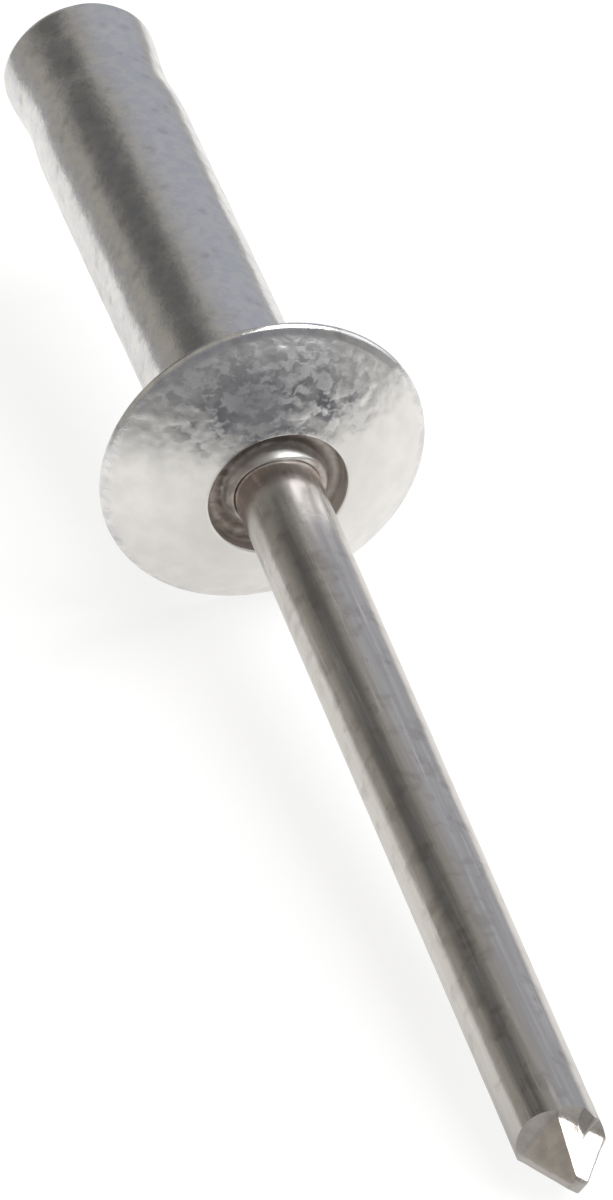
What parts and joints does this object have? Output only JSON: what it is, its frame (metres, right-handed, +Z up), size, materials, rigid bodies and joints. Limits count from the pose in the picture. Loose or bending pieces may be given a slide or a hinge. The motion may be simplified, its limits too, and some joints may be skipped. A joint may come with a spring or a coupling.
{
  "type": "closed-end blind rivet",
  "caption": "Closed-end blind rivet with a domed head, lying unset on its side: a rivet body whose head grips a steel mandrel that a riveting tool pulls.",
  "frame": {"origin": "on the surface that the rivet lies on, under the middle of its whole length and width", "axes": "+X along the rivet on the ground, from its closed end to the mandrel's point, +Z up; the rivet's own axis falls about 6.4 degrees towards +X"},
  "size_m": [0.0553, 0.0102, 0.0101],
  "materials": {
    "rivet_aluminium": "plain cold-formed aluminium alloy, satin, with fine draw lines along the shank and a grainy, slightly pitted head",
    "mandrel_steel": "drawn steel wire, dull grey with a faint warm tint, long draw lines, bright pinched point"
  },
  "bodies": {
    "root": {"rivet_body": "rivet_aluminium", "mandrel": "mandrel_steel"}
  },
  "joints": []
}
